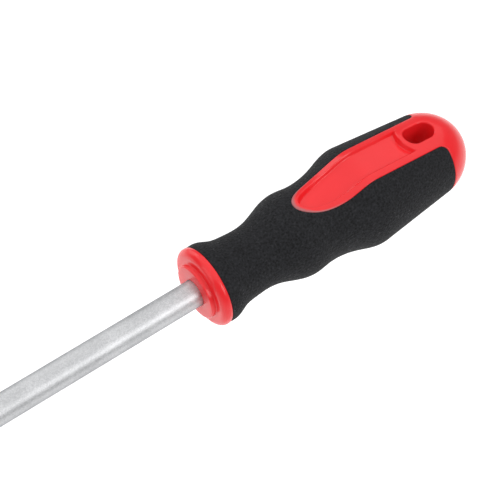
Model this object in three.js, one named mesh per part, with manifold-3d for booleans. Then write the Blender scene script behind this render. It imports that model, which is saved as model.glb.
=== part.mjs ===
// A heavy cross-point screwdriver with a round chromed blade and an overmoulded handle.
// Millimetres. The tool lies along +X: the blunt end of the point is at the origin, the handle's
// domed cap is at the far end, and the two panels with the hanging slot face +Z and -Z.
import * as THREE from 'three';
import { mergeVertices } from 'three/addons/utils/BufferGeometryUtils.js';
import Module from 'manifold-3d';

const wasm = await Module();
wasm.setup();

// ---------------------------------------------------------------- driving dimensions

// Blade: one forged and ground bar of tool steel.
const SHANK_RADIUS = 5;
const BLADE_LENGTH = 200;            // from the point's blunt end to the handle's front face
const POINT_END_RADIUS = 2.54;
const POINT_HALF_ANGLE = 13.25;      // degrees, side of the point's cone to the axis
const FLUTE_ROOT_RADIUS = 1.05;      // axis to the bottom of a flute, at the blunt end
const FLUTE_SLOPE = 7;               // degrees, bottom of a flute to the axis
const FLUTE_OPENING = 92;            // degrees, between the two sides of a flute
const FLUTE_STRAIGHT = 7;            // length of a flute before the grinding wheel lifts out of it
const FLUTE_COUNT = 4;
const WHEEL_RADIUS = 25;             // grinding wheel that leaves the flute's curved run-out
const WHEEL_SEGMENTS = 96;
const TANG_CHAMFER = 1;
const WING_LENGTH = 14;              // swaged ears that stop the tang turning in the handle
const WING_SPAN = 13;
const WING_THICKNESS = 4;

// Handle: lengths run back from the front face of the boss.
const HANDLE_LENGTH = 121.2;
const BOSS_RADIUS = 10.3;
const BOSS_HEIGHT = 1.9;
const BOSS_EDGE_BREAK = 0.35;
const FLANGE_FACE_RADIUS = 12.5;     // where the flange's flat front turns into its rounded lip
const FLANGE_RADIUS = 15.2;
const FLANGE_LIP_LENGTH = 2.6;
const COLLAR_LENGTH = 5.5;           // front face to the seam between plastic and rubber
const SEAM_RADIUS = 15.05;
const DOME_LENGTH = 15.4;
const DOME_RADIUS = 16.5;            // where the straight taper meets the dome

// Hand-shaped stretch between seam and taper, as [distance from the front face, radius].
const GRIP_SHAPE = [
  [9.2, 14.85],
  [13.2, 13.25],
  [18.5, 12.35],
  [24, 12.05],
  [30, 12.85],
  [38.8, 15.8],
  [43.5, 16.35],
  [49, 15.75],
  [55, 15.8],
  [63, 17.5],
  [68.3, 19.2],
  [72, 19.75],
  [76, 19.45],
];

// Rubber grip.
const GRIP_WALL = 2.2;
const LOBE_SETBACK = 14.7;           // end of the grip's two lobes, ahead of the handle's rear end
const LOBE_CORNER = 3.1;             // radius of the lobe's corner beside the panel
const LOBE_SLANT = 0.2;              // how far the lobe's end leans back, corner to handle's side

// Red panel and the shallow recess in it, on both faces.
const PANEL_TIP = 42.7;              // distance from the front face
const PANEL_HALF_WIDTH = 8.5;
const PANEL_FULL_WIDTH_AT = 67;      // distance from the front face
const NOSE_BLUNTNESS = 0.69;         // 0 makes the panel's nose a sharp point, 1 nearly square
const RIM_WIDTH = 2.9;
const RECESS_DEPTH = 1.4;
const RECESS_ARC_RADIUS = 8.9;       // rear edge of the recess, round the slot's centre

// Hanging slot through the rear of the handle.
const SLOT_LENGTH = 12.8;
const SLOT_WIDTH = 7.7;
const SLOT_SETBACK = 21;             // slot's centre, ahead of the handle's rear end

// Inner core, moulded round the tang before the rest of the handle.
const CORE_FRONT_WALL = 9;           // plastic between the front face and the core
const CORE_REAR_WALL = 7;            // plastic between the core and the slot
const CORE_NECK_RADIUS = 7.3;
const CORE_RADIUS = 9.6;
const CORE_NECK_END = 28;
const CORE_SHOULDER_END = 33;
const CORE_END_COVER = 6;            // core behind the end of the tang
const KEY_GROOVE_DEPTH = 1;
const KEY_GROOVE_WIDTH = 3;
const KEY_GROOVE_PITCH = 8;
const FIRST_KEY_GROOVE = 56;
const WING_START = 35;

// Gap left between any two pieces that are bonded in the real tool.
const FIT_GAP = 0.3;

const ROUND_SEGMENTS = 36;
const STEPS_PER_STATION = 2;
const CURVE_STEPS = 8;
const MERGE_DISTANCE = 1e-4;
const PAST_EVERYTHING = 30;          // cutters reach this far beyond the handle's axis

// ---------------------------------------------------------------- derived places

const slotCentre = HANDLE_LENGTH - SLOT_SETBACK;
const lobeEnd = HANDLE_LENGTH - LOBE_SETBACK;
const domeStart = HANDLE_LENGTH - DOME_LENGTH;
const sleeveEnd = (lobeEnd + HANDLE_LENGTH) / 2;
const coreEnd = slotCentre - SLOT_LENGTH / 2 - CORE_REAR_WALL;
const tangEnd = coreEnd - CORE_END_COVER;
const recessHalfWidth = PANEL_HALF_WIDTH - RIM_WIDTH;

// ---------------------------------------------------------------- solids from geometry

function solidFrom(geometry) {
  const bare = geometry.clone();
  bare.deleteAttribute('normal');
  bare.deleteAttribute('uv');
  const merged = mergeVertices(bare, MERGE_DISTANCE);
  const corners = merged.index.array;
  const triangles = [];
  for (let i = 0; i < corners.length; i += 3) {
    const [a, b, c] = corners.slice(i, i + 3);
    if (a !== b && b !== c && c !== a) triangles.push(a, b, c);
  }
  return new wasm.Manifold(new wasm.Mesh({
    numProp: 3,
    vertProperties: new Float32Array(merged.attributes.position.array),
    triVerts: new Uint32Array(triangles),
  }));
}

function geometryFrom(solid) {
  const mesh = solid.getMesh();
  const geometry = new THREE.BufferGeometry();
  geometry.setAttribute('position', new THREE.BufferAttribute(mesh.vertProperties, 3));
  geometry.setIndex(new THREE.BufferAttribute(mesh.triVerts, 1));
  geometry.computeVertexNormals();
  return geometry;
}

// A round solid about the X axis. The outline is a list of [distance along X, radius] that starts
// and ends on the axis, or closes on itself, and runs towards +X on its outer side.
function turned(outline) {
  const points = outline.map(([x, radius]) => new THREE.Vector2(radius, x));
  const geometry = new THREE.LatheGeometry(points, ROUND_SEGMENTS);
  geometry.rotateZ(-Math.PI / 2);
  return solidFrom(geometry);
}

// A prism whose plan outline lies in X and Y, running right through the handle along Z.
function throughPrism(shape) {
  const geometry = new THREE.ExtrudeGeometry(shape, {
    depth: 2 * PAST_EVERYTHING,
    bevelEnabled: false,
    curveSegments: CURVE_STEPS,
  });
  geometry.translate(0, 0, -PAST_EVERYTHING);
  return solidFrom(geometry);
}

// ---------------------------------------------------------------- outlines of the handle

// Outer surface from the seam to the end of the dome, as [distance, radius]: a smooth curve through
// the grip's stations, then a taper whose radius falls to nothing as a quarter of an ellipse.
function handleSurface() {
  const grip = new THREE.SplineCurve([
    new THREE.Vector2(COLLAR_LENGTH, SEAM_RADIUS),
    ...GRIP_SHAPE.map(([x, radius]) => new THREE.Vector2(x, radius)),
    new THREE.Vector2(domeStart, DOME_RADIUS),
  ]);
  const outline = grip.getPoints(STEPS_PER_STATION * (grip.points.length - 1)).map((p) => [p.x, p.y]);
  const [lastBulge, lastBulgeRadius] = GRIP_SHAPE[GRIP_SHAPE.length - 1];
  const taper = (DOME_RADIUS - lastBulgeRadius) / (domeStart - lastBulge);
  for (let i = 1; i <= CURVE_STEPS; i += 1) {
    const turn = (i / CURVE_STEPS) * (Math.PI / 2);
    const along = DOME_LENGTH * Math.sin(turn);
    outline.push([domeStart + along, (DOME_RADIUS + taper * along) * Math.cos(turn)]);
  }
  outline[outline.length - 1][1] = 0;
  return outline;
}

// Front boss and flange, from the axis out to the seam.
function collarOutline() {
  const outline = [
    [0, 0],
    [0, BOSS_RADIUS - BOSS_EDGE_BREAK],
    [BOSS_EDGE_BREAK, BOSS_RADIUS],
    [BOSS_HEIGHT, BOSS_RADIUS],
  ];
  const lipSteps = CURVE_STEPS / 2;
  for (let i = 0; i <= lipSteps; i += 1) {
    const turn = (i / lipSteps) * (Math.PI / 2);
    outline.push([
      BOSS_HEIGHT + FLANGE_LIP_LENGTH * (1 - Math.cos(turn)),
      FLANGE_FACE_RADIUS + (FLANGE_RADIUS - FLANGE_FACE_RADIUS) * Math.sin(turn),
    ]);
  }
  return outline;
}

const surface = handleSurface();
const sleeveSurface = surface.filter(([x]) => x < sleeveEnd);
const underGrip = sleeveSurface.map(([x, radius]) => [x, radius - GRIP_WALL]);
const pocketFloor = sleeveSurface.map(([x, radius]) => [x, radius - GRIP_WALL - FIT_GAP]);

// Points of an arc, counted from +X towards +Y, with both ends.
function arcPoints(centreX, centreY, radius, startAngle, endAngle) {
  return new THREE.EllipseCurve(
    centreX, centreY, radius, radius, startAngle, endAngle, endAngle < startAngle,
  ).getPoints(CURVE_STEPS);
}

// One side of the panel's or the recess's nose: from its tip on the axis out to its full width.
function nosePoints(tip, width) {
  return new THREE.CubicBezierCurve(
    new THREE.Vector2(tip, 0),
    new THREE.Vector2(tip, NOSE_BLUNTNESS * width),
    new THREE.Vector2((tip + PANEL_FULL_WIDTH_AT) / 2, width),
    new THREE.Vector2(PANEL_FULL_WIDTH_AT, width),
  ).getPoints(CURVE_STEPS);
}

// A closed plan outline from the points of its +Y side, mirrored in the handle's axis.
function mirroredShape(side) {
  const offAxis = side.filter((point) => point.y > MERGE_DISTANCE);
  const otherSide = offAxis.map((point) => new THREE.Vector2(point.x, -point.y));
  return new THREE.Shape([...side, ...otherSide.toReversed()]);
}

// Plan outline of what stays red behind the panel's tip: the panel and, behind the lobes, the
// whole rear cap. A positive inset draws it in by that much on every side.
function panelShape(inset) {
  const width = PANEL_HALF_WIDTH - inset;
  const end = lobeEnd + inset;
  const cornerEnd = end - LOBE_SLANT;
  return mirroredShape([
    ...nosePoints(PANEL_TIP + inset, width),
    ...arcPoints(cornerEnd - LOBE_CORNER, width + LOBE_CORNER, LOBE_CORNER, -Math.PI / 2, 0),
    new THREE.Vector2(end, DOME_RADIUS),
    new THREE.Vector2(end, PAST_EVERYTHING),
    new THREE.Vector2(HANDLE_LENGTH + PAST_EVERYTHING, PAST_EVERYTHING),
  ]);
}

// Plan outline of the recess: a pointed arch whose rear edge curves in round the slot.
function recessShape() {
  const arcAngle = Math.asin(recessHalfWidth / RECESS_ARC_RADIUS);
  return mirroredShape([
    ...nosePoints(PANEL_TIP + RIM_WIDTH, recessHalfWidth),
    ...arcPoints(slotCentre, 0, RECESS_ARC_RADIUS, Math.PI - arcAngle, Math.PI),
  ]);
}

// Space above the recess's floor, which is level across the handle and follows the body along it.
function aboveRecessFloor() {
  const rim = surface.filter(([x]) => x <= domeStart);
  const shape = new THREE.Shape();
  shape.moveTo(rim[0][0], PAST_EVERYTHING);
  for (const [x, radius] of rim) {
    shape.lineTo(x, Math.sqrt(radius ** 2 - recessHalfWidth ** 2) - RECESS_DEPTH);
  }
  shape.lineTo(rim[rim.length - 1][0], PAST_EVERYTHING);
  const geometry = new THREE.ExtrudeGeometry(shape, { depth: 2 * PANEL_HALF_WIDTH, bevelEnabled: false });
  geometry.rotateX(Math.PI / 2);
  geometry.translate(0, PANEL_HALF_WIDTH, 0);
  return geometry;
}

function slotShape() {
  const half = (SLOT_LENGTH - SLOT_WIDTH) / 2;
  const shape = new THREE.Shape();
  shape.absarc(slotCentre + half, 0, SLOT_WIDTH / 2, -Math.PI / 2, Math.PI / 2, false);
  shape.absarc(slotCentre - half, 0, SLOT_WIDTH / 2, Math.PI / 2, -Math.PI / 2, false);
  return shape;
}

// Outer side of the core, from front to rear, with its ring grooves. The cavity round it is the
// same outline let out by the gap.
function coreOutline(gap) {
  const outline = [
    [CORE_FRONT_WALL - gap, CORE_NECK_RADIUS + gap],
    [CORE_NECK_END, CORE_NECK_RADIUS + gap],
    [CORE_SHOULDER_END, CORE_RADIUS + gap],
  ];
  const outer = CORE_RADIUS + gap;
  const floor = outer - KEY_GROOVE_DEPTH;
  const half = KEY_GROOVE_WIDTH / 2 - gap;
  for (let x = FIRST_KEY_GROOVE; x < coreEnd - KEY_GROOVE_PITCH / 2; x += KEY_GROOVE_PITCH) {
    outline.push([x - half, outer], [x - half, floor], [x + half, floor], [x + half, outer]);
  }
  outline.push([coreEnd + gap, outer]);
  return outline;
}

// Block that the tang's two ears fill, let out by the gap, measured from the front face.
function wingBlock(gap) {
  const geometry = new THREE.BoxGeometry(
    WING_LENGTH + 2 * gap,
    WING_SPAN + 2 * gap,
    WING_THICKNESS + 2 * gap,
  );
  geometry.translate(WING_START + WING_LENGTH / 2, 0, 0);
  return solidFrom(geometry);
}

// ---------------------------------------------------------------- pieces

// Every piece is worked out from the front face of the handle, so the blade's point is at
// -BLADE_LENGTH here, and the group at the end moves the whole tool along by that much.

// What the grinding wheel takes out for one flute: a V-shaped groove along the slope, then the
// V-edged wheel itself where it lifts out at the groove's end.
function fluteCutter(index) {
  const reach = 2 * SHANK_RADIUS;
  const halfWidth = reach * Math.tan(THREE.MathUtils.degToRad(FLUTE_OPENING / 2));
  const slope = THREE.MathUtils.degToRad(FLUTE_SLOPE);
  const straight = FLUTE_STRAIGHT / Math.cos(slope);
  const lead = SHANK_RADIUS;
  const section = new THREE.Shape();
  section.moveTo(0, 0);
  section.lineTo(halfWidth, reach);
  section.lineTo(-halfWidth, reach);
  const groove = new THREE.ExtrudeGeometry(section, { depth: straight + lead, bevelEnabled: false });
  groove.rotateY(Math.PI / 2);
  groove.translate(-lead, 0, 0);
  const wheel = new THREE.LatheGeometry([
    new THREE.Vector2(0, -halfWidth),
    new THREE.Vector2(WHEEL_RADIUS - reach, -halfWidth),
    new THREE.Vector2(WHEEL_RADIUS, 0),
    new THREE.Vector2(WHEEL_RADIUS - reach, halfWidth),
    new THREE.Vector2(0, halfWidth),
  ], WHEEL_SEGMENTS);
  wheel.rotateX(Math.PI / 2);
  wheel.translate(straight, WHEEL_RADIUS, 0);
  for (const geometry of [groove, wheel]) {
    geometry.rotateZ(slope);
    geometry.translate(-BLADE_LENGTH, FLUTE_ROOT_RADIUS, 0);
    geometry.rotateX(((index + 0.5) * 2 * Math.PI) / FLUTE_COUNT);
  }
  return solidFrom(groove).add(solidFrom(wheel));
}

function blade() {
  const coneAngle = THREE.MathUtils.degToRad(POINT_HALF_ANGLE);
  const coneLength = (SHANK_RADIUS - POINT_END_RADIUS) / Math.tan(coneAngle);
  let solid = turned([
    [-BLADE_LENGTH, 0],
    [-BLADE_LENGTH, POINT_END_RADIUS],
    [-BLADE_LENGTH + coneLength, SHANK_RADIUS],
    [tangEnd - TANG_CHAMFER, SHANK_RADIUS],
    [tangEnd, SHANK_RADIUS - TANG_CHAMFER],
    [tangEnd, 0],
  ]);
  for (let i = 0; i < FLUTE_COUNT; i += 1) {
    solid = solid.subtract(fluteCutter(i));
  }
  return solid.add(wingBlock(0));
}

function innerCore() {
  const bore = SHANK_RADIUS + FIT_GAP;
  const body = turned([
    [tangEnd + FIT_GAP, 0],
    [tangEnd + FIT_GAP, bore],
    [CORE_FRONT_WALL, bore],
    ...coreOutline(0),
    [coreEnd, 0],
  ]);
  return body.subtract(wingBlock(FIT_GAP));
}

function handleBody() {
  const rearOfCollar = [COLLAR_LENGTH - FIT_GAP, SEAM_RADIUS];
  const collar = turned([...collarOutline(), rearOfCollar, [COLLAR_LENGTH - FIT_GAP, 0]]);
  const spineFront = COLLAR_LENGTH / 2;
  const spine = turned([
    [spineFront, 0],
    [spineFront, pocketFloor[0][1]],
    ...pocketFloor,
    [pocketFloor[pocketFloor.length - 1][0], 0],
  ]);
  const fullRound = turned([[COLLAR_LENGTH, 0], ...surface]);
  const shown = fullRound.intersect(throughPrism(panelShape(FIT_GAP)));
  const outside = collar.add(spine).add(shown);

  const above = aboveRecessFloor();
  const below = above.clone().rotateX(Math.PI);
  const recess = throughPrism(recessShape()).intersect(solidFrom(above).add(solidFrom(below)));
  const slot = throughPrism(slotShape());

  const bore = SHANK_RADIUS + FIT_GAP;
  const cavity = turned([
    [-BOSS_HEIGHT, 0],
    [-BOSS_HEIGHT, bore],
    [CORE_FRONT_WALL - FIT_GAP, bore],
    ...coreOutline(FIT_GAP),
    [coreEnd + FIT_GAP, 0],
  ]);
  return outside.subtract(recess).subtract(slot).subtract(cavity);
}

function softGrip() {
  const sleeve = turned([...sleeveSurface, ...underGrip.toReversed(), sleeveSurface[0]]);
  return sleeve.subtract(throughPrism(panelShape(0)));
}

// ---------------------------------------------------------------- the tool

const steel = new THREE.MeshStandardMaterial({ color: 0xc9cbcd, roughness: 0.42, metalness: 1 });
const corePlastic = new THREE.MeshStandardMaterial({ color: 0xd8d4c8, roughness: 0.6, metalness: 0 });
const redPlastic = new THREE.MeshStandardMaterial({ color: 0xe0262c, roughness: 0.33, metalness: 0 });
const blackRubber = new THREE.MeshStandardMaterial({ color: 0x232427, roughness: 0.85, metalness: 0 });

function piece(name, solid, material) {
  const mesh = new THREE.Mesh(geometryFrom(solid), material);
  mesh.name = name;
  return mesh;
}

const screwdriver = new THREE.Group();
screwdriver.add(
  piece('blade', blade(), steel),
  piece('inner_core', innerCore(), corePlastic),
  piece('handle_body', handleBody(), redPlastic),
  piece('soft_grip', softGrip(), blackRubber),
);
screwdriver.position.x = BLADE_LENGTH;

export default screwdriver;
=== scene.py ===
import math

import bmesh
import bpy
import numpy as np
from mathutils import Matrix, Vector


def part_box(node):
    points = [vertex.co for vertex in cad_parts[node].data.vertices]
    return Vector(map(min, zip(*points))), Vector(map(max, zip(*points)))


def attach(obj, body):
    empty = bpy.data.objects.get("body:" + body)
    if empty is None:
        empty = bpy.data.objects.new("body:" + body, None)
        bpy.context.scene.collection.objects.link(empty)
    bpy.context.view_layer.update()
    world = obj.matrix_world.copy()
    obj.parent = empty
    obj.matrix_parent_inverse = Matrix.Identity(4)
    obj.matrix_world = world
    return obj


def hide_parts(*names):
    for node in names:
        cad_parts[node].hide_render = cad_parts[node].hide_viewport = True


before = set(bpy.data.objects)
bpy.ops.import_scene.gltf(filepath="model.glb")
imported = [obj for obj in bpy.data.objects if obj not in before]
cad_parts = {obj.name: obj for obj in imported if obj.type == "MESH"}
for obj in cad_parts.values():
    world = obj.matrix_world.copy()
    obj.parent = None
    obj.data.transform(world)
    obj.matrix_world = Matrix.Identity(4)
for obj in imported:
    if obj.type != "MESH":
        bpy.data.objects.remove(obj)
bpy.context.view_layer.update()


# ---------------------------------------------------------------- blade
# One bar of tool steel: ground round, its point cut by a V-edged grinding wheel, two ears pressed out of
# the tang so that it can't turn in the handle. It is plated, and tumbled to a fine satin.

MM = 0.001
blade_low, blade_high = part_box("blade")
front_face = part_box("handle_body")[0].x          # where the blade goes into the handle
shank_radius = blade_high.z
tang_end = blade_high.x
ear_reach = blade_high.y

POINT_END_RADIUS = 2.54 * MM
POINT_HALF_ANGLE = math.radians(13.25)
FLUTE_ROOT = 1.05 * MM                           # axis to the bottom of a flute, at the blunt end
FLUTE_SLOPE = math.radians(7)
FLUTE_HALF_OPENING = math.radians(46)
FLUTE_STRAIGHT = 7 * MM                          # a flute's length before the wheel lifts out
FLUTE_COUNT = 4
WHEEL_RADIUS = 25 * MM
END_ROUNDING = 0.15 * MM
TANG_CHAMFER = 1 * MM
EAR_START = 35 * MM                              # behind the handle's front face
EAR_LENGTH = 14 * MM
EAR_HALF_THICKNESS = 2 * MM
EAR_RAMP = 1.5 * MM
STEEL_DULL = (0.46, 0.465, 0.475)
STEEL_BRIGHT = (0.65, 0.655, 0.665)
STEEL_EDGE_TINT = (0.30, 0.31, 0.33, 1)          # plating is darker where it is seen at a flat angle
FLUTE_COLUMNS = 16                               # mesh columns in one flute's two sides
LAND_COLUMNS = 24                                # and between one flute and the next
LEAST_FLUTE_TURN = math.radians(4)               # their least half width, where there is no flute
POINT_MESH_LENGTH = 24 * MM
POINT_ROWS = 90
SHANK_ROWS = 44
EAR_ROWS = 48
TANG_ROWS = 8
ROUNDING_ROWS = 5
NEARLY_NOTHING = 1e-6                            # keeps a division clear of zero
MERGE_DISTANCE = 0.002 * MM                      # points nearer than this are one
SHARP_EDGE = math.radians(38)                    # faces that meet at a larger angle are shaded apart


def ramp(value, start, end):
    """0 up to start, 1 from end on, and 3t^2 - 2t^3 of the way t between them."""
    t = np.clip((value - start) / (end - start), 0, 1)
    return t * t * (3 - 2 * t)


def around(x, radius, angle):
    """Points at a distance along the tool and a radius, turned by an angle from +Z towards +Y."""
    x, radius, angle = np.broadcast_arrays(x, radius, angle)
    return np.stack([x, radius * np.sin(angle), radius * np.cos(angle)], axis=-1)


def flute_depth(x):
    """Distance from the axis to a flute's bottom: a straight slope from the blunt end, then the arc of
    the wheel's rim, which touches the slope where the wheel starts to lift."""
    slope_line = FLUTE_ROOT + x * math.tan(FLUTE_SLOPE)
    centre_x = FLUTE_STRAIGHT - WHEEL_RADIUS * math.sin(FLUTE_SLOPE)
    lift_depth = FLUTE_ROOT + FLUTE_STRAIGHT * math.tan(FLUTE_SLOPE)
    centre_height = lift_depth + WHEEL_RADIUS * math.cos(FLUTE_SLOPE)
    rise = np.sqrt(np.maximum(WHEEL_RADIUS**2 - (x - centre_x) ** 2, 0))
    return np.where(x < FLUTE_STRAIGHT, slope_line, np.minimum(centre_height - rise, 2 * shank_radius))


def blade_radius(x, angle):
    """Distance from the axis to the steel. It is the smaller of the point's cone and the round shank,
    cut back in each flute to depth * sin(46) / sin(46 - turn) degrees, which is the side of a V whose
    root lies at that depth, and let out over the tang to the two flat ears."""
    cone = POINT_END_RADIUS + x * math.tan(POINT_HALF_ANGLE)
    turning = np.minimum(cone, shank_radius) + 0 * angle
    pitch = 2 * math.pi / FLUTE_COUNT
    turn = np.abs((angle % pitch) - pitch / 2)
    opening = np.maximum(FLUTE_HALF_OPENING - turn, NEARLY_NOTHING)
    side = flute_depth(x) * math.sin(FLUTE_HALF_OPENING) / np.sin(opening)
    ground = np.minimum(turning, side)
    ear_tip = ear_reach / np.maximum(np.abs(np.sin(angle)), NEARLY_NOTHING)
    ear_flat = EAR_HALF_THICKNESS / np.maximum(np.abs(np.cos(angle)), NEARLY_NOTHING)
    ear = np.minimum(ear_tip, ear_flat)
    start = front_face + EAR_START
    end = start + EAR_LENGTH
    pressed = ramp(x, start, start + EAR_RAMP) * (1 - ramp(x, end - EAR_RAMP, end))
    return np.where(ear > ground, ground + (ear - ground) * pressed, ground)


def blade_angles(x):
    """A row of angles for each place x. They lie evenly across each flute, between the two edges where
    it meets the land, and evenly across each land. A flute's edge lies 46 degrees less
    arcsin(depth * sin(46) / radius) from its middle."""
    pitch = 2 * math.pi / FLUTE_COUNT
    cone = np.minimum(POINT_END_RADIUS + x * math.tan(POINT_HALF_ANGLE), shank_radius)
    reach = np.minimum(flute_depth(x) * math.sin(FLUTE_HALF_OPENING) / cone, 1)
    edge = np.maximum(FLUTE_HALF_OPENING - np.arcsin(reach), LEAST_FLUTE_TURN)
    flute = edge * np.linspace(-1, 1, FLUTE_COLUMNS + 1)
    land = edge + (pitch - 2 * edge) * np.linspace(0, 1, LAND_COLUMNS + 1)
    one = np.concatenate([flute[:, :-1], land[:, :-1]], axis=1)
    turns = [one + pitch * (k + 0.5) for k in range(FLUTE_COUNT)]
    closing = turns[0][:, :1] + 2 * math.pi
    return np.concatenate(turns + [closing], axis=1)


def build_piece(name, patches):
    """One closed mesh from grids of points. Each four neighbouring points make a face, points that two
    grids share become one, and the faces are turned to point outwards."""
    corners = []
    faces = []
    count = 0
    for patch in patches:
        rows, columns = patch.shape[:2]
        number = count + np.arange(rows * columns).reshape(rows, columns)
        quads = np.stack([number[:-1, :-1], number[:-1, 1:], number[1:, 1:], number[1:, :-1]], axis=-1)
        corners.append(patch.reshape(-1, 3))
        faces.append(quads.reshape(-1, 4))
        count += rows * columns
    mesh = bpy.data.meshes.new(name)
    mesh.from_pydata(np.concatenate(corners).tolist(), [], np.concatenate(faces).tolist())
    work = bmesh.new()
    work.from_mesh(mesh)
    bmesh.ops.remove_doubles(work, verts=work.verts, dist=MERGE_DISTANCE)
    bmesh.ops.recalc_face_normals(work, faces=work.faces)
    work.to_mesh(mesh)
    work.free()
    mesh.shade_smooth()
    mesh.set_sharp_from_angle(angle=SHARP_EDGE)
    piece = bpy.data.objects.new(name, mesh)
    bpy.context.scene.collection.objects.link(piece)
    return piece


def blade_mesh():
    """The steel's skin as rows along the tool. The first rows shrink the point's outline to a pole on
    the flat blunt end, and the last ones close the tang's chamfered end."""
    end_shrink = np.array([0, 0.5, 0.85])[:, None]
    point = np.linspace(0, POINT_MESH_LENGTH, POINT_ROWS)
    shank = np.linspace(POINT_MESH_LENGTH, front_face + EAR_START - EAR_RAMP, SHANK_ROWS)
    ears = np.linspace(shank[-1], shank[-1] + EAR_LENGTH + 2 * EAR_RAMP, EAR_ROWS)
    tang = np.linspace(ears[-1], tang_end - TANG_CHAMFER, TANG_ROWS)
    start = np.array([[0.0]])
    outline = blade_radius(start, blade_angles(start))
    end_face = around(0.0, (outline - END_ROUNDING) * end_shrink, blade_angles(start))
    bend = np.linspace(0, math.pi / 2, ROUNDING_ROWS)[:, None]
    rounding = around(
        END_ROUNDING * (1 - np.cos(bend)), outline - END_ROUNDING * (1 - np.sin(bend)), blade_angles(start),
    )
    x = np.concatenate([point[1:], shank[1:], ears[1:], tang[1:]])[:, None]
    sides = around(x, blade_radius(x, blade_angles(x)), blade_angles(x))
    tail = blade_angles(x[-1:])
    closing = np.concatenate([
        around(tang_end, (shank_radius - TANG_CHAMFER) + 0 * tail, tail),
        around(tang_end, 0 * tail, tail),
    ])
    return np.concatenate([end_face, rounding, sides, closing])


class Channel:
    """One output of a shader node. Arithmetic on it adds Math nodes to the same material."""

    def __init__(self, finish, socket):
        self.finish = finish
        self.socket = socket

    def math(self, operation, first, second):
        return self.finish.node("ShaderNodeMath", {"operation": operation}, {0: first, 1: second})

    def __add__(self, other):
        return self.math("ADD", self, other)

    def __sub__(self, other):
        return self.math("SUBTRACT", self, other)

    def __rsub__(self, other):
        return self.math("SUBTRACT", other, self)

    def __mul__(self, other):
        return self.math("MULTIPLY", self, other)

    __radd__ = __add__
    __rmul__ = __mul__


class Finish:
    """A material being made. Its patterns read the piece's own coordinates, in metres."""

    def __init__(self, name):
        self.material = bpy.data.materials.new(name)
        self.material.use_nodes = True
        self.tree = self.material.node_tree
        self.tree.nodes.clear()
        self.place = self.node("ShaderNodeTexCoord", output="Object")

    def node(self, kind, settings=None, inputs=None, output=0):
        """Any node: its type, its settings, then the values or channels for its sockets."""
        made = self.tree.nodes.new(kind)
        for name, value in (settings or {}).items():
            setattr(made, name, value)
        for key, value in (inputs or {}).items():
            if isinstance(value, Channel):
                self.tree.links.new(value.socket, made.inputs[key])
            else:
                made.inputs[key].default_value = value
        return Channel(self, None if output is None else made.outputs[output])

    def noise(self, size, detail=2.0, place=None):
        """Cloudy noise from 0 to 1, with features of about that size."""
        inputs = {"Vector": place or self.place, "Scale": 1 / size, "Detail": detail}
        return self.node("ShaderNodeTexNoise", inputs=inputs)

    def cells(self, size):
        """Distance to the middle of the nearest of many small cells, 0 at the middle."""
        inputs = {"Vector": self.place, "Scale": 1 / size}
        return self.node("ShaderNodeTexVoronoi", inputs=inputs)

    def stretched(self, scale):
        """The piece's coordinates, scaled by a factor along each axis."""
        return self.node("ShaderNodeMapping", inputs={"Vector": self.place, "Scale": scale})

    def step(self, value, low, high):
        """0 below low, 1 above high, smooth between."""
        inputs = {"Value": value, "From Min": low, "From Max": high}
        return self.node("ShaderNodeMapRange", {"interpolation_type": "SMOOTHSTEP"}, inputs)

    def mix(self, share, first, second):
        """A colour that goes from the first to the second as the share goes from 0 to 1."""
        inputs = {0: share, 6: first if isinstance(first, Channel) else (*first, 1), 7: (*second, 1)}
        return self.node("ShaderNodeMix", {"data_type": "RGBA"}, inputs, output=2)

    def bump(self, height, depth):
        """A normal for a relief that goes from 0 to that depth as height goes from 0 to 1."""
        return self.node("ShaderNodeBump", inputs={"Height": height, "Distance": depth})

    def surface(self, **inputs):
        """The finished material, from the Principled shader's sockets."""
        named = {name.replace("_", " "): value for name, value in inputs.items()}
        shader = self.node("ShaderNodeBsdfPrincipled", inputs=named)
        self.node("ShaderNodeOutputMaterial", inputs={"Surface": shader}, output=None)
        return self.material


def satin_steel():
    """Tumbled plating: a fine frosted grain, faint clouds where the plating is duller, and faint rings
    left by the grinding under it."""
    steel = Finish("satin_steel")
    grain = steel.noise(0.35 * MM, 3)
    frost = steel.noise(0.9 * MM, 2)
    clouds = steel.noise(9 * MM, 3)
    rings = steel.noise(1 * MM, 2, steel.stretched((4, 0.15, 0.15)))
    tone = 0.5 * grain + 0.3 * frost + 0.2 * clouds
    return steel.surface(
        Base_Color=steel.mix(steel.step(tone, 0.35, 0.65), STEEL_DULL, STEEL_BRIGHT),
        Metallic=1.0,
        Specular_Tint=STEEL_EDGE_TINT,
        Roughness=0.35 + 0.25 * frost,
        Normal=steel.bump(0.6 * grain + 0.3 * frost + 0.1 * rings, 0.03 * MM),
    )


blade = build_piece("steel_blade", [blade_mesh()])
blade.data.materials.append(satin_steel())
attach(blade, "root")
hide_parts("blade")


# ---------------------------------------------------------------- inner core
# A hard grey plastic core, moulded round the tang and its ears before anything else. Its ring grooves
# key it into the red body, which is moulded over it.

core_low, core_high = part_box("inner_core")
CORE_NECK_RADIUS = 7.3 * MM
CORE_NECK_END = 28 * MM
CORE_SHOULDER_END = 33 * MM
CORE_FRONT = core_low.x
CORE_RADIUS = core_high.y
KEY_GROOVE_DEPTH = 1 * MM
KEY_GROOVE_HALF_WIDTH = 1.5 * MM
KEY_GROOVE_PITCH = 8 * MM
FIRST_KEY_GROOVE = 56 * MM
CORE_EDGE = 0.3 * MM
CORE_GREY = (0.36, 0.35, 0.32)
CORE_FLECK = (0.52, 0.51, 0.47)
BORE_ROWS = 80
BONDED = 0.03 * MM                               # space drawn between two pieces that are bonded


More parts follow.
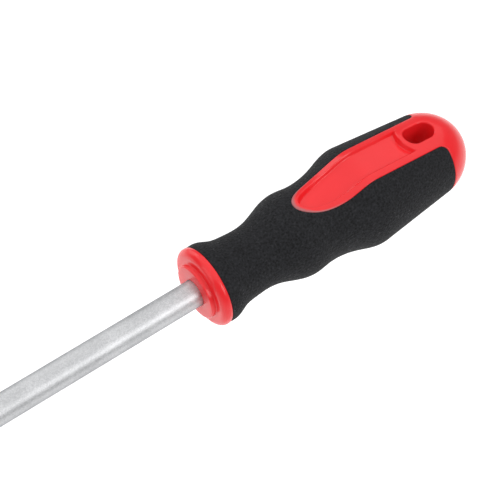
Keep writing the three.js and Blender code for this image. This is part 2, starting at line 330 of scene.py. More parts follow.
def core_outline(grow):
    """The core's outer profile from front to rear, as [place, radius]. With a positive grow it is the
    profile of the cavity that the core fills."""
    outline = [
        [CORE_FRONT - grow, CORE_NECK_RADIUS - CORE_EDGE + grow],
        [CORE_FRONT - grow + CORE_EDGE, CORE_NECK_RADIUS + grow],
        [front_face + CORE_NECK_END, CORE_NECK_RADIUS + grow],
        [front_face + CORE_SHOULDER_END, CORE_RADIUS + grow],
    ]
    outer = CORE_RADIUS + grow
    groove = front_face + FIRST_KEY_GROOVE
    while groove < core_high.x - KEY_GROOVE_PITCH / 2:
        half = KEY_GROOVE_HALF_WIDTH - grow
        outline += [
            [groove - half - CORE_EDGE, outer],
            [groove - half, outer - CORE_EDGE],
            [groove - half, outer - KEY_GROOVE_DEPTH],
            [groove + half, outer - KEY_GROOVE_DEPTH],
            [groove + half, outer - CORE_EDGE],
            [groove + half + CORE_EDGE, outer],
        ]
        groove += KEY_GROOVE_PITCH
    outline += [[core_high.x + grow - CORE_EDGE, outer], [core_high.x + grow, outer - CORE_EDGE]]
    return np.array(outline)


def turned(outline, angles):
    """A profile of [place, radius] carried round the tool's axis: (x, r sin a, r cos a)."""
    outline = np.asarray(outline)
    return around(outline[:, :1], outline[:, 1:], angles[None, :])


def core_mesh():
    """The outer profile turned from the rear pole forwards, then the bore, which is the blade's own skin
    let out by the bonded space, back to a pole behind the tang."""
    outer = core_outline(0)[::-1]
    outer = np.concatenate([[[core_high.x, 0]], outer])
    x = np.linspace(CORE_FRONT, tang_end - TANG_CHAMFER, BORE_ROWS)[:, None]
    angles = blade_angles(np.array([[front_face]]))
    skin = turned(outer, angles[0])
    bore = around(x, blade_radius(x, angles) + BONDED, angles)
    rear = around(tang_end + BONDED, np.array([[shank_radius - TANG_CHAMFER], [0]]), angles)
    return np.concatenate([skin, bore, rear])


def grey_plastic():
    """Hard glass-filled plastic: a dull grey with fine flecks of fibre and a slightly dry skin."""
    plastic = Finish("grey_plastic")
    flecks = plastic.step(plastic.noise(0.4 * MM, 3), 0.58, 0.66)
    clouds = plastic.noise(5 * MM, 2)
    return plastic.surface(
        Base_Color=plastic.mix(0.7 * flecks + 0.3 * clouds, CORE_GREY, CORE_FLECK),
        Roughness=0.5 + 0.15 * clouds,
        Normal=plastic.bump(flecks, 0.01 * MM),
    )


core = build_piece("grey_core", [core_mesh()])
core.data.materials.append(grey_plastic())
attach(core, "root")
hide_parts("inner_core")


# ---------------------------------------------------------------- red handle body
# A round, hand-shaped handle of glossy red plastic, injected round the core. It shows as the front
# collar, a panel on the front and on the back with a shallow recess, and the domed cap with its slot.

handle_low, handle_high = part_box("handle_body")
handle_length = handle_high.x - handle_low.x
SEAM_PLACE = 5.5 * MM                            # all places here run back from the front face
SEAM_RADIUS = 15.05 * MM
DOME_LENGTH = 15.4 * MM
DOME_RADIUS = 16.5 * MM
dome_start = handle_length - DOME_LENGTH
GRIP_STATIONS = np.vstack([[SEAM_PLACE, SEAM_RADIUS], MM * np.array([
    [9.2, 14.85], [13.2, 13.25], [18.5, 12.35], [24, 12.05], [30, 12.85], [38.8, 15.8], [43.5, 16.35],
    [49, 15.75], [55, 15.8], [63, 17.5], [68.3, 19.2], [72, 19.75], [76, 19.45],
])])
BOSS_RADIUS = 10.3 * MM
BOSS_HEIGHT = 1.9 * MM
BOSS_EDGE = 0.45 * MM
BOSS_FILLET = 0.35 * MM
FLANGE_FACE_RADIUS = 12.5 * MM
FLANGE_RADIUS = 15.2 * MM
FLANGE_LIP_LENGTH = 2.6 * MM
GRIP_WALL = 2.2 * MM
LOBE_END = handle_length - 14.7 * MM
LOBE_CORNER = 3.1 * MM
LOBE_SLANT = 0.2 * MM
PANEL_TIP = 42.7 * MM
PANEL_HALF_WIDTH = 8.5 * MM
PANEL_FULL_WIDTH_AT = 67 * MM
NOSE_BLUNTNESS = 0.69
RIM_WIDTH = 2.9 * MM
RECESS_DEPTH = 1.4 * MM
RECESS_ARC_RADIUS = 8.9 * MM
recess_half_width = PANEL_HALF_WIDTH - RIM_WIDTH
SLOT_CENTRE = handle_length - 21 * MM
SLOT_HALF_STRAIGHT = 2.55 * MM
SLOT_HALF_WIDTH = 3.85 * MM
SLOT_LIP = 0.8 * MM                              # rounding of the slot's mouth
SEAM_ROUNDING = 0.35 * MM                        # rounding of the red edge beside the rubber
WALL_FOOT = 0.5 * MM                             # the recess wall's foot, inside its outline
WALL_CREST = 0.6 * MM                            # and its rounded crest, outside it
BORE_EDGE = 0.25 * MM                            # rounding where the blade goes in
RED = (0.80, 0.016, 0.021)
RED_WHERE_IT_FLOWED = (0.86, 0.020, 0.026)
# Painted highlight: a greyish pink painted on the red edge beside the rubber at the panels' noses, where
# that edge catches the light.
PAINTED_EDGE_HIGHLIGHT = (0.40, 0.125, 0.13)
PAINTED_HIGHLIGHT_WIDTH = 2.0 * MM                           # width of the painted highlight on the red edge at the panels' tips
PAINTED_HIGHLIGHT_FULLEST = 0.2                             # share of that width in which it is at its full tone
PAINTED_HIGHLIGHT_THINNING = 0.6                             # share of that width lost by the place where the painted highlight starts to fade
PAINTED_HIGHLIGHT_FADE = 50 * MM
PAINTED_HIGHLIGHT_END = 64 * MM
NOSE_LINES = 96                                  # mesh lines across the seam, from a panel's tip on
RECESS_LINES = 64
REAR_WALL_LINES = 16
LAND_LINES = 26
CORNER_LINES = 14
SLANT_LINES = 12
NOSE_FRONT_LINES = 52                            # nose lines that run forwards into the waist
WAIST_PLACE = 38 * MM
LOBE_LAST_LINE = 2 * MM                          # length of the last line, forwards from the lobe's end
BOW_START = 20 * MM                              # the recess's floor lines start to bow here, ahead of
BOW_END = 4 * MM                                 # its rear corner, and follow the slot's arc from here
NOSE_POINTS = 200
DOME_ROWS = 41
SLOT_WALL_ROWS = 17
EDGE_ROWS = 3
BEND_ROWS = 7
LIP_ROWS = 17
BAND_ROWS = 6
COLLAR_BORE_ROWS = 8


def spline_bends(stations, end_slope):
    """Second derivatives of the cubic spline through the stations: none at the first one, the given
    slope at the last one, and no jump in slope at those between."""
    x, y = stations.T
    gap = np.diff(x)
    slope = np.diff(y) / gap
    count = len(x)
    table = np.zeros((count, count))
    right = np.zeros(count)
    table[0, 0] = 1
    inner = np.arange(1, count - 1)
    table[inner, inner - 1] = gap[:-1]
    table[inner, inner] = 2 * (gap[:-1] + gap[1:])
    table[inner, inner + 1] = gap[1:]
    right[inner] = 6 * np.diff(slope)
    table[-1, -2:] = [gap[-1], 2 * gap[-1]]
    right[-1] = 6 * (end_slope - slope[-1])
    return np.linalg.solve(table, right)


taper = (DOME_RADIUS - GRIP_STATIONS[-1, 1]) / (dome_start - GRIP_STATIONS[-1, 0])
station_bends = spline_bends(GRIP_STATIONS, taper)


def handle_radius(x):
    """Radius of the handle's skin. Between two stations it is A y0 + B y1 + ((A^3 - A) m0 + (B^3 - B) m1)
    gap^2 / 6, behind them a straight taper, and over the dome the taper times sqrt(1 - t^2)."""
    places, radii = GRIP_STATIONS.T
    k = np.clip(np.searchsorted(places, x) - 1, 0, len(places) - 2)
    gap = places[k + 1] - places[k]
    b = (x - places[k]) / gap
    a = 1 - b
    bend = ((a**3 - a) * station_bends[k] + (b**3 - b) * station_bends[k + 1]) * gap**2 / 6
    shaped = a * radii[k] + b * radii[k + 1] + bend
    straight = radii[-1] + taper * (x - places[-1])
    t = np.clip((x - dome_start) / DOME_LENGTH, 0, 1)
    return np.where(x < places[-1], shaped, straight * np.sqrt(1 - t * t))


def on_handle(x, radius, angle):
    """Points of the handle, from places counted behind its front face."""
    return around(front_face + x, radius, angle)


def angle_of(x, y):
    """Angle from +Z at which the skin is y away from the middle plane: arcsin(y / radius)."""
    return np.arcsin(np.clip(y / handle_radius(x), -1, 1))


def nose(tip, width, turn):
    """Half of the panel's nose: the cubic Bezier curve (tip, 0), (tip, 0.69 w), (middle, w), (end, w)."""
    end = PANEL_FULL_WIDTH_AT
    back = 1 - turn
    x = (back**3 + 3 * back**2 * turn) * tip + 3 * back * turn**2 * (tip + end) / 2 + turn**3 * end
    y = (3 * back**2 * turn * NOSE_BLUNTNESS + 3 * back * turn**2 + turn**3) * width
    return x, y


def panel_edge():
    """The seam between red and black on one side of one panel, from its tip to the end of the lobe at
    the handle's side: nose, straight side, the lobe's round corner, its slanting end. [place, angle]"""
    x, y = nose(PANEL_TIP, PANEL_HALF_WIDTH, np.linspace(0, 1, NOSE_LINES + 1))
    corner_start = LOBE_END - LOBE_SLANT - LOBE_CORNER
    recess_rear = SLOT_CENTRE - math.sqrt(RECESS_ARC_RADIUS**2 - recess_half_width**2)
    wall_start = recess_rear - 2 * WALL_FOOT
    side = np.concatenate([
        np.linspace(PANEL_FULL_WIDTH_AT, wall_start, RECESS_LINES + 1)[1:],
        np.linspace(wall_start, recess_rear, REAR_WALL_LINES + 1)[1:],
        np.linspace(recess_rear, corner_start, LAND_LINES + 1)[1:],
    ])
    turn = np.linspace(0, math.pi / 2, CORNER_LINES + 1)[1:]
    corner_x = corner_start + LOBE_CORNER * np.sin(turn)
    corner_y = PANEL_HALF_WIDTH + LOBE_CORNER * (1 - np.cos(turn))
    x = np.concatenate([x, side, corner_x])
    y = np.concatenate([y, PANEL_HALF_WIDTH + 0 * side, corner_y])
    angle = angle_of(x, y)
    slant = np.linspace(angle[-1], math.pi / 2, SLANT_LINES + 1)[1:]
    lean = LOBE_SLANT / (DOME_RADIUS - corner_y[-1])
    slant_x = corner_x[-1] + lean * (handle_radius(LOBE_END) * np.sin(slant) - corner_y[-1])
    return np.stack([np.concatenate([x, slant_x]), np.concatenate([angle, slant])])


def inner_edge(seam):
    """The line that the rim's mesh starts from: the recess's outline beside the seam, and behind the
    recess a straight line on beside the slot. [place, angle]"""
    x, y = nose(PANEL_TIP + RIM_WIDTH, recess_half_width, np.linspace(0, 1, NOSE_LINES + 1))
    straight = seam[0, NOSE_LINES + 1:NOSE_LINES + 1 + RECESS_LINES + REAR_WALL_LINES + LAND_LINES]
    frame_end = 2 * SLOT_CENTRE - straight[RECESS_LINES + REAR_WALL_LINES - 1]
    rest = np.linspace(straight[-1], frame_end, CORNER_LINES + SLANT_LINES + 1)[1:]
    x = np.concatenate([x, straight, rest])
    y = np.concatenate([y, recess_half_width + 0 * straight, recess_half_width + 0 * rest])
    return np.stack([x, angle_of(x, y)])


def distance_to_line(points, line):
    """Distance from each point to the nearest place on a line of short straight pieces. On a piece from
    a to b that place is a + t (b - a), where t is (p - a).(b - a) / |b - a|^2, kept from 0 to 1."""
    start = line[:-1]
    piece = np.diff(line, axis=0)
    away = points.reshape(-1, 1, points.shape[-1]) - start
    t = np.clip((away * piece).sum(-1) / (piece**2).sum(-1), 0, 1)
    left = away - t[..., None] * piece
    return np.sqrt((left**2).sum(-1).min(axis=1)).reshape(points.shape[:-1])


def spread(start, end, near, far, between):
    """Rows of points from one line to another: at the distances `near` from the first, evenly spaced,
    and at the distances `far` from the second. Lines are [place, angle]."""
    across = (end[1] - start[1]) * handle_radius((start[0] + end[0]) / 2)
    length = np.hypot(end[0] - start[0], across)
    near = np.asarray(near)[:, None] / length
    far = 1 - np.asarray(far)[:, None] / length
    middle = np.linspace(0, 1, between + 2)[1:-1, None]
    share = np.concatenate([near, near[-1] + (far[0] - near[-1]) * middle, far])
    return start[:, None, :] + (end - start)[:, None, :] * share[None]


def recess_distance(x, y):
    """Distance outside the recess's outline, negative inside it: its nose, its straight side and the
    arc round the slot each give one, and the recess is where all of them are negative."""
    nose_x, nose_y = nose(PANEL_TIP + RIM_WIDTH, recess_half_width, np.linspace(0, 1, NOSE_POINTS))
    away = distance_to_line(np.stack([x, y], axis=-1), np.stack([nose_x, nose_y], axis=-1))
    half = np.interp(x, nose_x, nose_y, left=0)
    in_nose = (x > nose_x[0]) & (y < half)
    side = np.where(x < PANEL_FULL_WIDTH_AT, np.where(in_nose, -away, away), y - recess_half_width)
    arc = RECESS_ARC_RADIUS - np.hypot(x - SLOT_CENTRE, y)
    return np.maximum(side, arc)


def slot_distance(x, y):
    """Distance outside the slot's outline, a straight middle with two half circles."""
    past_straight = np.maximum(np.abs(x - SLOT_CENTRE) - SLOT_HALF_STRAIGHT, 0)
    return np.hypot(past_straight, y) - SLOT_HALF_WIDTH


def rounded(distance, radius):
    """How far a quarter-round edge has dropped, at a distance from where its side stands upright."""
    inside = np.clip(1 - distance / radius, 0, 1)
    return radius * (1 - np.sqrt(1 - inside * inside))


def seam_distance_on(points):
    """Distance from points of the handle's skin to the seam between red and black."""
    return distance_to_line(points, on_handle(seam[0], handle_radius(seam[0]), seam[1]))


def red_skin(grid):
    """Points of the red skin over a grid of [place, angle]. The round handle drops by the rounded edge
    at the seam, and the slot's lip is rounded. In the recess the height is that of a floor level
    across the handle, at its depth under the rim, blended up the wall to the handle's own height."""
    x, angle = grid
    radius = handle_radius(x)
    y = radius * np.sin(angle)
    seam_distance = seam_distance_on(on_handle(x, radius, angle))
    points = on_handle(x, radius - rounded(seam_distance, SEAM_ROUNDING), angle)
    height = points[..., 2]
    recess_floor = np.sqrt(radius**2 - np.minimum(recess_half_width, radius) ** 2) - RECESS_DEPTH
    wall = ramp(recess_distance(x, y), -WALL_FOOT, WALL_CREST)
    on_panel = (x < SLOT_CENTRE) & (y < PANEL_HALF_WIDTH)
    height = np.where(on_panel, recess_floor + (height - recess_floor) * wall, height)
    points[..., 2] = height - rounded(slot_distance(x, y), SLOT_LIP)
    return points


seam = panel_edge()
rim_start = inner_edge(seam)
recess_last = NOSE_LINES + RECESS_LINES + REAR_WALL_LINES


def rim_grid():
    """[place, angle] between the recess's outline and the seam, and on beside the slot. The rows are
    close together at the wall's crest and at the seam's rounded edge."""
    near = MM * np.array([0, 0.08, 0.16, 0.24, 0.34, 0.5])
    far = MM * np.array([0.5, 0.35, 0.24, 0.15, 0.08, 0.03, 0])
    return spread(rim_start, seam, near, far, 7)


def floor_shares(length):
    """Shares of the way from the middle of the recess to its outline, for lines of these lengths: even
    steps up to the wall's foot, then short ones up the wall."""
    wall = MM * np.array([0.9, 0.7, 0.55, 0.45, 0.35, 0.25, 0.17, 0.08, 0])[:, None]
    even = np.linspace(0, 1, 9)[:-1, None]
    return np.concatenate([even * (1 - wall[0] / length), 1 - wall / length])


arc_shares = floor_shares(np.array([recess_half_width]))[:, 0]


def floor_grid():
    """[place, angle] from the middle of the recess out to its outline. At the rear the lines bow round
    the slot, and in the nose they fan out from one place."""
    x, angle = rim_start[:, :recess_last + 1]
    y = handle_radius(x) * np.sin(angle)
    tip = PANEL_TIP + RIM_WIDTH
    fan_start = tip + recess_half_width
    line = np.arange(recess_last + 1)
    shares = np.clip(line / NOSE_LINES, 0, 1) ** 2
    middle = np.where(line < NOSE_LINES, fan_start + (PANEL_FULL_WIDTH_AT - fan_start) * shares, x)
    length = np.hypot(x - middle, y)
    share = floor_shares(length)
    across = y * share
    bow = ramp(x, x[-1] - BOW_START, x[-1] - BOW_END)
    arc = SLOT_CENTRE - np.sqrt(RECESS_ARC_RADIUS**2 - across**2) - x[-1]
    place = middle + (x - middle) * share + arc * bow
    return np.stack([place, angle_of(place, across)])


def slot_grid():
    """[place, angle] from the slot's mouth out to a frame round it: the recess's rear arc, the straight
    line beside the slot, and the arc's mirror image behind it. All lines point at the slot's centre, and
    those to the arc end where the recess floor's lines do."""
    half_angle = math.asin(recess_half_width / RECESS_ARC_RADIUS)
    turn = np.arcsin(recess_half_width * arc_shares[:-1] / RECESS_ARC_RADIUS)
    side_x = rim_start[0, recess_last:]
    side_turn = np.arctan2(recess_half_width, SLOT_CENTRE - side_x)
    turns = np.concatenate([turn, side_turn, math.pi - turn[::-1]])
    reach = np.where(
        (turns < half_angle) | (turns > math.pi - half_angle), RECESS_ARC_RADIUS,
        recess_half_width / np.maximum(np.sin(turns), NEARLY_NOTHING),
    )
    flat = SLOT_HALF_WIDTH / np.maximum(np.sin(turns), NEARLY_NOTHING)
    over = SLOT_HALF_STRAIGHT * np.abs(np.cos(turns))
    to_round = over + np.sqrt(SLOT_HALF_WIDTH**2 - (SLOT_HALF_STRAIGHT * np.sin(turns)) ** 2)
    mouth = np.where(np.abs(flat * np.cos(turns)) < SLOT_HALF_STRAIGHT, flat, to_round)
    near = MM * np.array([0, 0.02, 0.06, 0.12, 0.2, 0.32, 0.46, 0.62, 0.8, 1.0])[:, None]
    far = MM * np.array([0.4, 0.3, 0.2, 0.1, 0])[:, None]
    middle = np.linspace(0, 1, 5)[1:-1, None]
    inner = mouth + near
    outer = reach - far
    distance = np.concatenate([inner, inner[-1] + (outer[0] - inner[-1]) * middle, outer])
    place = SLOT_CENTRE - distance * np.cos(turns)
    return np.stack([place, angle_of(place, distance * np.sin(turns))])


def dome_grid(slot_part, rim_part):
    """[place, angle] from the rear of the slot's frame and of the rim back to the pole of the dome. The
    angle stays, and the place goes as the sine of a turn that ends at a right angle. The share s of
    that turn is 0.4 s + 0.6 s^1.3, which brings the first rows closer together."""
    frame_rear = slot_part[:, -1, -len(arc_shares):][:, ::-1]
    start = np.concatenate([frame_rear, rim_part[:, 1:, -1]], axis=1)
    first = np.arcsin(np.clip((start[0] - dome_start) / DOME_LENGTH, 0, 1))
    share = np.linspace(0, 1, DOME_ROWS)[:, None]
    share = 0.4 * share + 0.6 * share**1.3
    turn = first + (math.pi / 2 - first) * share
    place = np.where(share == 0, start[0], dome_start + DOME_LENGTH * np.sin(turn))
    return np.stack([place, start[1] + 0 * place])


def mirrored(patch):
    """A quarter of the handle, and its mirror images in the middle plane, top to bottom, and both."""
    return [patch * np.array([1, side, top]) for side in (1, -1) for top in (1, -1)]


def sleeve_grids(edge_clearance, near, between, waist_rows):
    """[place, angle] of the ground that the rubber covers, on a quarter of the handle: the waist from
    the front seam, and the lobe from the panel's edge on. Of the lobe's lines, which start at the seam,
    the first end round the waist and the rest along the handle's side."""
    front = NOSE_FRONT_LINES
    side_end = NOSE_LINES + 1 + RECESS_LINES + REAR_WALL_LINES + LAND_LINES
    waist_angle = np.linspace(0, math.pi / 2, front + 1)
    share = np.linspace(0, 1, NOSE_LINES - front + 1)[1:]
    nose_x = WAIST_PLACE + (PANEL_FULL_WIDTH_AT - WAIST_PLACE) * share
    side_x = seam[0, NOSE_LINES + 1:side_end]
    rest_x = np.linspace(side_x[-1], seam[0, -1] - LOBE_LAST_LINE, seam.shape[1] - side_end + 1)[1:]
    end_x = np.concatenate([WAIST_PLACE + 0 * waist_angle, nose_x, side_x, rest_x])
    end_angle = np.concatenate([waist_angle, np.full(len(end_x) - len(waist_angle), math.pi / 2)])
    end = np.stack([end_x, end_angle])
    lobe = spread(seam, end, np.asarray(near) + edge_clearance, [0], between)
    first = SEAM_PLACE + np.asarray(near) - near[0]
    place = np.concatenate([first, np.linspace(first[-1], WAIST_PLACE, waist_rows + 1)[1:]])
    place = place[:, None] + 0 * waist_angle
    return lobe, np.stack([place, waist_angle + 0 * place])


def collar_outline():
    """The red front end as [place, radius], from the bore's mouth over the boss and the flange to the
    seam, and down the hidden step in front of the rubber. A rounding is a quarter of a circle or of an
    ellipse: 1 - sin and 1 - cos of a turn, times its two lengths."""
    turn = np.linspace(0, math.pi / 2, BEND_ROWS)
    hollow = 1 - np.sin(turn)
    bulge = 1 - np.cos(turn)
    lip = np.linspace(0, math.pi / 2, LIP_ROWS)
    lip_rise = (FLANGE_RADIUS - FLANGE_FACE_RADIUS) * np.sin(lip)
    band = np.linspace(BOSS_HEIGHT + FLANGE_LIP_LENGTH, SEAM_PLACE - SEAM_ROUNDING, BAND_ROWS)[1:]
    slope = (SEAM_RADIUS - FLANGE_RADIUS) / (SEAM_PLACE - band[0])
    parts = [
        [BORE_EDGE * hollow, shank_radius + BONDED + BORE_EDGE * bulge],
        [BOSS_EDGE * bulge, BOSS_RADIUS - BOSS_EDGE * hollow],
        [BOSS_HEIGHT - BOSS_FILLET * hollow, BOSS_RADIUS + BOSS_FILLET * bulge],
        [BOSS_HEIGHT + FLANGE_LIP_LENGTH * (1 - np.cos(lip)), FLANGE_FACE_RADIUS + lip_rise],
        [band, FLANGE_RADIUS + slope * (band - band[0])],
        [SEAM_PLACE - SEAM_ROUNDING * hollow, SEAM_RADIUS - SEAM_ROUNDING * bulge],
        [[SEAM_PLACE], [SEAM_RADIUS - GRIP_WALL]],
    ]
    return np.concatenate([np.stack(part, axis=1) for part in parts])


def handle_mesh():
    """All grids of the red body: four mirrored quarters of the panel, its recess, the slot and the dome,
    the bed under the rubber, and the turned collar with the bore and the core's cavity inside."""
    rim = rim_grid()
    slot = slot_grid()
    quarter = [red_skin(grid) for grid in (rim, floor_grid(), slot, dome_grid(slot, rim))]
    mouth = red_skin(slot[:, :1])
    levels = np.linspace(1, 0, SLOT_WALL_ROWS)[:, None, None]
    quarter.append(mouth * (1 - levels) * np.array([1, 1, 0]) + mouth * levels)
    drop = SEAM_ROUNDING + (GRIP_WALL - SEAM_ROUNDING) * np.linspace(0, 1, EDGE_ROWS)[:, None]
    quarter.append(on_handle(seam[0], handle_radius(seam[0]) - drop, seam[1]))
    for place, angle in sleeve_grids(edge_clearance=0, near=[0], between=3, waist_rows=12):
        quarter.append(on_handle(place, handle_radius(place) - GRIP_WALL, angle))
    angles = np.linspace(0, 2 * math.pi, 4 * NOSE_FRONT_LINES + 1)
    collar = collar_outline() + np.array([front_face, 0])
    bore = np.linspace(CORE_FRONT - BONDED, collar[0, 0], COLLAR_BORE_ROWS)[:-1]
    outline = np.concatenate([
        [[core_high.x + BONDED, 0]],
        core_outline(BONDED)[::-1],
        np.stack([bore, shank_radius + BONDED + 0 * bore], axis=1),
        collar,
    ])
    return [turned(outline, angles)] + [image for patch in quarter for image in mirrored(patch)]


def mark_painted_highlight(piece):
    """An attribute for the painted highlight on the red edge: 1 beside the rubber and 0 past the
    highlight's width. It is widest at the panels' tips, thins along their noses and fades out behind them."""
    places = np.empty(3 * len(piece.data.vertices))
    piece.data.vertices.foreach_get("co", places)
    places = places.reshape(-1, 3)
    behind = places[:, 0] - front_face
    near = np.abs(behind - PANEL_TIP) < PAINTED_HIGHLIGHT_END - PANEL_TIP
    amount = np.zeros(len(places))
    distance = seam_distance_on(np.abs(places[near]))
    fade = 1 - ramp(behind[near], PAINTED_HIGHLIGHT_FADE, PAINTED_HIGHLIGHT_END)
    width = PAINTED_HIGHLIGHT_WIDTH * (1 - PAINTED_HIGHLIGHT_THINNING * ramp(behind[near], PANEL_TIP, PAINTED_HIGHLIGHT_FADE))
    amount[near] = (1 - ramp(distance, PAINTED_HIGHLIGHT_FULLEST * width, width)) * fade
    piece.data.attributes.new("painted_highlight", "FLOAT", "POINT").data.foreach_set("value", amount)


def red_plastic():
    """Glossy red polypropylene: one strong red, a little lighter in slow clouds where it flowed, with the
    faint orange peel of a polished mould. On the edge beside the rubber at the noses, patches of greyish
    pink are painted in as a highlight where that edge catches the light."""
    red = Finish("red_plastic")
    flow = red.noise(7 * MM, 3)
    peel = red.noise(0.7 * MM, 2)
    # Painted highlight: patches of greyish pink on the red edge at the noses, where that edge catches the
    # light.
    painted_highlight = red.node("ShaderNodeAttribute", {"attribute_name": "painted_highlight"}, output="Fac")
    highlight_patches = painted_highlight * red.step(red.noise(1.6 * MM, 2), 0.1, 0.5)
    return red.surface(
        Base_Color=red.mix(highlight_patches, red.mix(flow, RED, RED_WHERE_IT_FLOWED), PAINTED_EDGE_HIGHLIGHT),
        Roughness=0.18 + 0.08 * flow,
        Specular_IOR_Level=0.42,
        Normal=red.bump(peel, 0.006 * MM),
    )


handle = build_piece("red_handle", handle_mesh())
mark_painted_highlight(handle)
handle.data.materials.append(red_plastic())
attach(handle, "root")
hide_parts("handle_body")


# ---------------------------------------------------------------- black rubber grip
# Soft black rubber moulded over the red body in a second shot: a sleeve round the waist with a lobe back
# along each side. Its mould was spark-eroded, so the skin is finely pebbled.

GRIP_EDGE = 0.3 * MM                             # rounding of the rubber beside the red
EDGE_GAP = 0.04 * MM
PEBBLE_SIZE = 1.0 * MM
PEBBLE_HEIGHT = 0.03 * MM
PEBBLE_FADE = 0.6 * MM
LATTICE_TURNS = np.array([12.9898, 78.233, 37.719])
LATTICE_GAIN = 43758.5453
RUBBER_PIT = (0.0015, 0.0015, 0.0017)
RUBBER_CREST = (0.019, 0.0195, 0.0225)


def lattice_value(cell):
    """A fixed number from 0 to 1 for each cell of a lattice: the fraction of a large sine."""
    mixed = np.sin(cell @ LATTICE_TURNS) * LATTICE_GAIN
    return mixed - np.floor(mixed)


def pebbles(points, size):
    """Smooth noise from -1 to 1 with bumps of that size: values at the corners of a cubic lattice,
    blended along each side by 3t^2 - 2t^3."""
    scaled = points / size
    cell = np.floor(scaled)
    t = scaled - cell
    t = t * t * (3 - 2 * t)
    total = np.zeros(points.shape[:-1])
    for corner in np.ndindex(2, 2, 2):
        offset = np.array(corner)
        weight = np.prod(np.where(offset == 1, t, 1 - t), axis=-1)
        total += weight * lattice_value(cell + offset)
    return 2 * total - 1


def grip_skin(grid):
    """Smooth points of the rubber's outer skin over a grid of [place, angle], with a rounded edge, and
    each point's distance to the nearest seam."""
    x, angle = grid
    radius = handle_radius(x)
    seam_distance = np.minimum(seam_distance_on(on_handle(x, radius, angle)), x - SEAM_PLACE)
    return on_handle(x, radius - rounded(seam_distance, GRIP_EDGE), angle), seam_distance


def pebbled(points, seam_distance):
    """The skin sunk along its radius between two sizes of pebble, which fade out at the seam."""
    grain = 0.65 * pebbles(points, PEBBLE_SIZE) + 0.35 * pebbles(points, PEBBLE_SIZE / 2)
    sunk = PEBBLE_HEIGHT * (1 - grain) / 2 * ramp(seam_distance, 0, PEBBLE_FADE)
    radius = np.hypot(points[..., 1], points[..., 2])
    left = 1 - sunk / radius
    return points * np.stack([np.ones_like(left), left, left], axis=-1)


def grip_edge(line):
    """The rubber's edge below one line of its outer skin, straight down to the inner skin."""
    points = grip_skin(line[:, None])[0][0]
    outer = np.hypot(points[:, 1], points[:, 2])
    inner = handle_radius(line[0]) - GRIP_WALL + BONDED
    return on_handle(line[0], outer + (inner - outer) * np.linspace(0, 1, EDGE_ROWS)[:, None], line[1])


def grip_mesh():
    """Outer skin, the edge beside the panels, the front edge and a plain inner skin, in four mirrored
    quarters. The pebbles are put on after mirroring, so that they don't repeat."""
    near = MM * np.array([0, 0.03, 0.08, 0.14, 0.21, 0.3, 0.45])
    outer_grids = sleeve_grids(EDGE_GAP, near, between=44, waist_rows=88)
    patches = []
    for grid in outer_grids:
        points, seam_distance = grip_skin(grid)
        patches += [pebbled(image, seam_distance) for image in mirrored(points)]
    plain = [grip_edge(grid[:, 0]) for grid in outer_grids]
    for place, angle in sleeve_grids(EDGE_GAP, [0], between=2, waist_rows=8):
        plain.append(on_handle(place, handle_radius(place) - GRIP_WALL + BONDED, angle))
    return patches + [image for patch in plain for image in mirrored(patch)]


def black_rubber():
    """Soft black rubber with a spark-eroded skin: small pits, a finer dust over them, slow clouds, and a
    few grains that stand clear and glint."""
    rubber = Finish("black_rubber")
    pits = rubber.cells(0.9 * MM)
    dust = rubber.noise(0.8 * MM, 3)
    clouds = rubber.noise(6 * MM, 2)
    grain = 0.5 * rubber.step(pits, 0.15, 0.65) + 0.5 * rubber.step(dust, 0.35, 0.65)
    return rubber.surface(
        Base_Color=rubber.mix(0.8 * grain + 0.2 * clouds, RUBBER_PIT, RUBBER_CREST),
        Roughness=0.80 - 0.35 * rubber.step(dust, 0.6, 0.72),
        Specular_IOR_Level=0.25,
        Normal=rubber.bump(grain, 0.2 * MM),
    )


grip = build_piece("rubber_grip", grip_mesh())
grip.data.materials.append(black_rubber())
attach(grip, "root")
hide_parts("soft_grip")


# ---------------------------------------------------------------- studio
# A plain white floor, so far below the tool that no shadow of it shows, and soft lights: a large one
# overhead, a smaller one from -Y that draws the bright band on the blade, and weak ones from -X and +Y.
# The camera looks down on the handle from the side of -X and -Y.

FLOOR_DROP = 0.3                                 # below the handle
FLOOR_HALF_SIZE = 6.0
FLOOR_GREY = (0.93, 0.93, 0.93)
FLOOR_WHITE = (0.95, 0.95, 0.95)
WHITE = (1, 1, 1, 1)
AIM = Vector((0.2263, 0.009, 0.0))               # where the camera looks, in the tool's middle plane
CAMERA_DISTANCE = 0.5046
CAMERA_AZIMUTH = math.radians(-127.87)           # from +X towards +Y
CAMERA_ELEVATION = math.radians(53.49)
CAMERA_ROLL = math.radians(1.39)
LENS = 106.1
SENSOR = 36.0

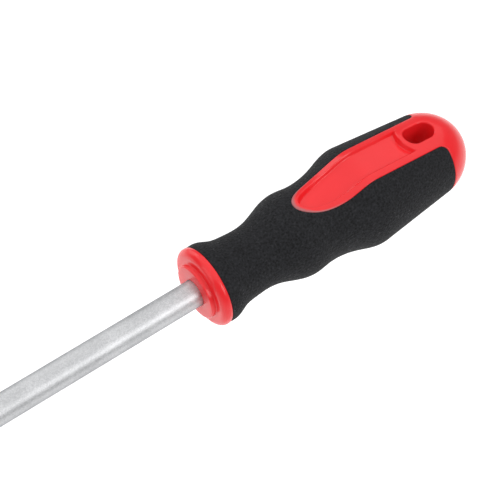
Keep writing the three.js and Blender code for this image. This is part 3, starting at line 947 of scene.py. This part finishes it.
floor_mesh = bpy.data.meshes.new("floor")
floor_height = handle_low.z - FLOOR_DROP
floor_corners = [
    (x_side * FLOOR_HALF_SIZE, y_side * FLOOR_HALF_SIZE, floor_height)
    for x_side, y_side in ((-1, -1), (1, -1), (1, 1), (-1, 1))
]
floor_mesh.from_pydata(floor_corners, [], [(0, 1, 2, 3)])
white = Finish("white_floor")
floor_mesh.materials.append(white.surface(
    Base_Color=white.mix(white.noise(0.4, 2), FLOOR_GREY, FLOOR_WHITE),
    Roughness=0.9,
    Emission_Color=WHITE,
    Emission_Strength=0.3,
))
floor = bpy.data.objects.new("floor", floor_mesh)
bpy.context.scene.collection.objects.link(floor)

toward_camera = Vector((
    math.cos(CAMERA_ELEVATION) * math.cos(CAMERA_AZIMUTH),
    math.cos(CAMERA_ELEVATION) * math.sin(CAMERA_AZIMUTH),
    math.sin(CAMERA_ELEVATION),
))
camera_data = bpy.data.cameras.new("camera")
camera_data.lens = LENS
camera_data.sensor_width = SENSOR
camera_data.clip_end = 20
camera = bpy.data.objects.new("camera", camera_data)
bpy.context.scene.collection.objects.link(camera)
turned_to_aim = (-toward_camera).to_track_quat("-Z", "Y").to_matrix()
camera.matrix_world = (
    Matrix.Translation(AIM + CAMERA_DISTANCE * toward_camera)
    @ (turned_to_aim @ Matrix.Rotation(CAMERA_ROLL, 3, "Z")).to_4x4()
)
bpy.context.scene.camera = camera


def add_light(name, toward, distance, size, power):
    """A square soft light, facing the place that the camera looks at from a direction and distance. Its
    size is the length of a side in metres and its power is in watts."""
    data = bpy.data.lights.new(name, "AREA")
    data.shape = "SQUARE"
    data.size = size
    data.energy = power
    lamp = bpy.data.objects.new(name, data)
    bpy.context.scene.collection.objects.link(lamp)
    direction = Vector(toward).normalized()
    lamp.location = AIM + distance * direction
    lamp.rotation_euler = (-direction).to_track_quat("-Z", "Y").to_euler()


add_light("overhead", toward=(0.1, 0.15, 1.0), distance=1.5, size=3.7, power=38)
add_light("front", toward=(0.3, -0.8, 0.5), distance=1.0, size=0.5, power=3.0)
add_light("left", toward=(-0.9, 0.1, 0.4), distance=1.2, size=0.8, power=2.6)
add_light("back", toward=(-0.1, 0.9, 0.3), distance=1.2, size=0.8, power=2.6)

world = bpy.data.worlds.new("studio")
world.use_nodes = True
sky = world.node_tree.nodes["Background"]
sky.inputs["Color"].default_value = WHITE
sky.inputs["Strength"].default_value = 0.3
bpy.context.scene.world = world
bpy.context.scene.view_settings.view_transform = "Standard"
